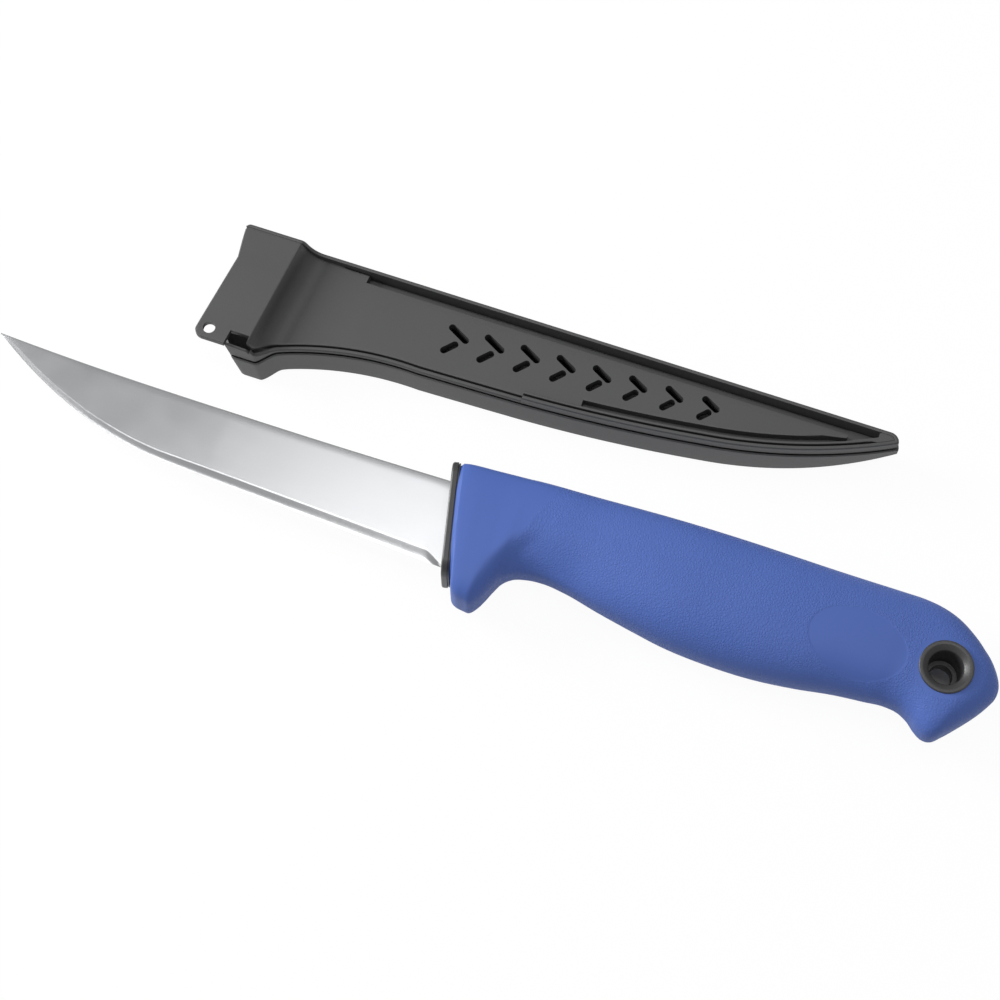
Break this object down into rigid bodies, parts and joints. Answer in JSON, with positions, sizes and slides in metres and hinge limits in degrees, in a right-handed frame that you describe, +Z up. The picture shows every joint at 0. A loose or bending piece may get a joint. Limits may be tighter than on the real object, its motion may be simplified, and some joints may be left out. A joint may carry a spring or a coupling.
{
  "type": "fillet knife with sheath",
  "caption": "Fillet knife with a narrow upswept blade and soft grip with finger guard and lanyard eyelet, lying beside its moulded drain-slotted belt sheath.",
  "frame": {"origin": "bottom centre of the box round the knife and the sheath as they lie on their flat sides", "axes": "+X from the blade's tip to the handle's butt, +Y from the cutting edge to the spine and on to the sheath, +Z up, across the blade's faces"},
  "size_m": [0.2679, 0.0818, 0.021],
  "materials": {
    "blade_steel": "satin ground along the blade, the edge bevel ground finer",
    "grip_rubber": "blue soft overmould, smooth at the front and fine leather grain in the hold",
    "handle_trim": "black satin moulding",
    "handle_core": "black unfinished moulding, hidden",
    "sheath_plastic": "dark grey satin moulding, bare"
  },
  "bodies": {
    "knife": {"blade": "blade_steel", "handle_core": "handle_core", "front_collar": "handle_trim", "grip": "grip_rubber", "eyelet_bush": "handle_trim"},
    "sheath": {"sheath_front_shell": "sheath_plastic", "sheath_frame": "sheath_plastic", "sheath_back_plate": "sheath_plastic"}
  },
  "joints": [
    {"name": "sheath_lift", "type": "slide", "parent": "knife", "child": "sheath", "axis": [0, 0, 1], "range_m": [0, 0.06]}
  ]
}
